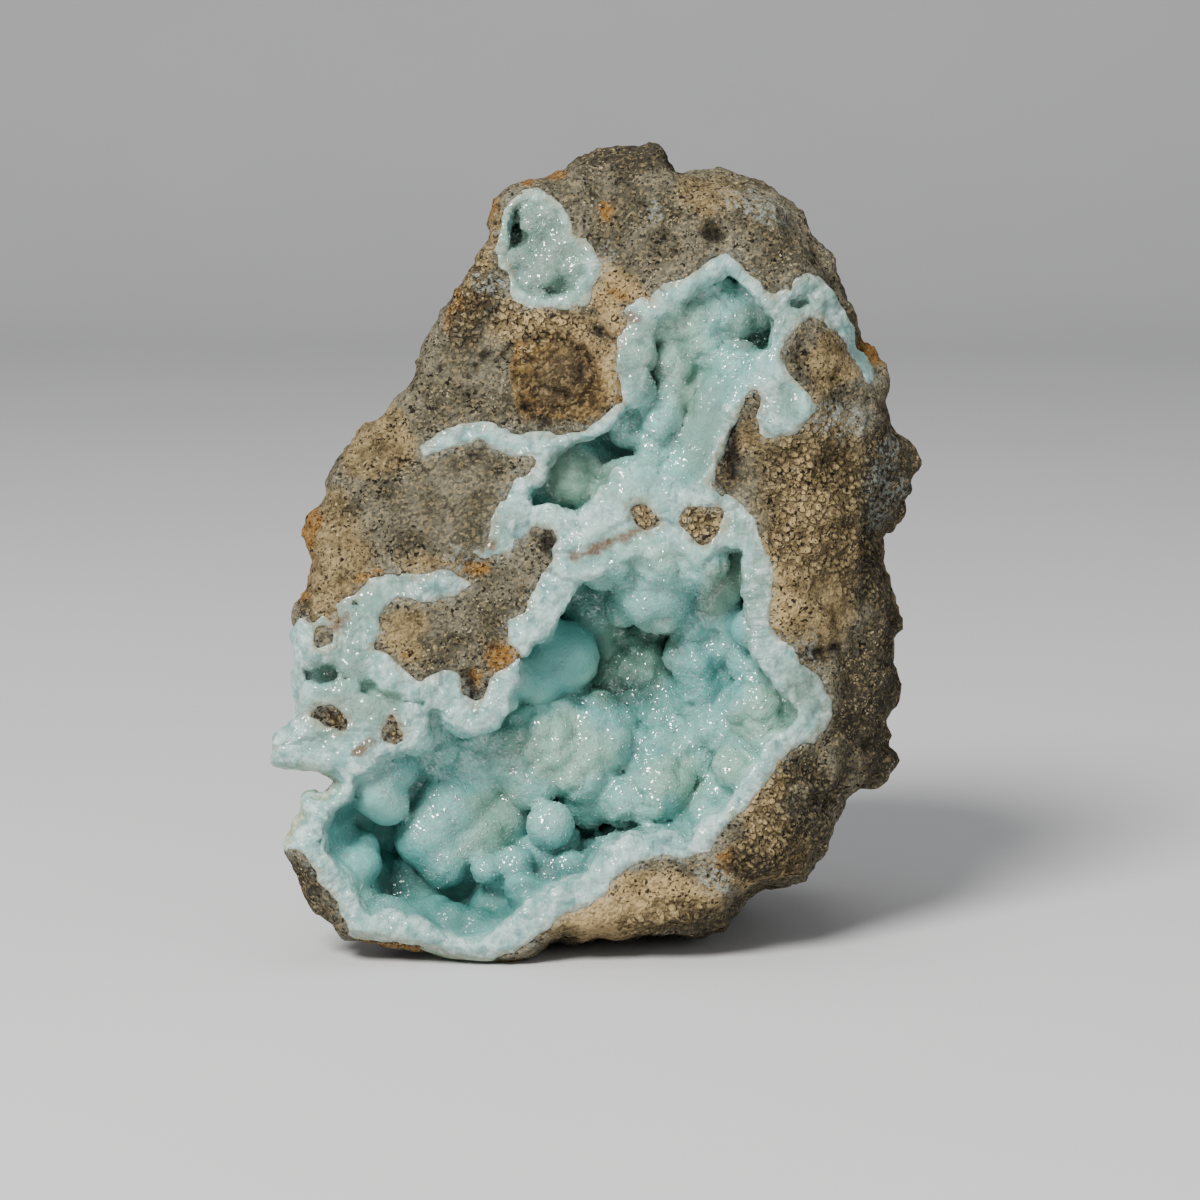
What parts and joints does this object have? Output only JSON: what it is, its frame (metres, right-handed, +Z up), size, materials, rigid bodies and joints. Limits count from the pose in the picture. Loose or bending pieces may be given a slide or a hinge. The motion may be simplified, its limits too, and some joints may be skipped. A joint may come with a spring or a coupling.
{
  "type": "hemimorphite specimen on matrix",
  "caption": "Upright broken rock whose leaning face opens into a deep hollow lined with a pale blue-green crust of rounded hemimorphite lumps, with a small crusted pocket above.",
  "frame": {"origin": "centre of the bounding box in X and Y, at the height of the flat base that the specimen stands on", "axes": "+Z up, -Y out of the broken front face, which leans back from the vertical, +X to the right seen from the front"},
  "size_m": [0.0733, 0.0526, 0.0925],
  "materials": {
    "rock": "coarse broken sandy rock, matte",
    "crust": "translucent crystal crust, satin and glittering"
  },
  "bodies": {
    "root": {"host_rock": "rock", "main_crust": "crust", "corner_crust": "crust"}
  },
  "joints": []
}
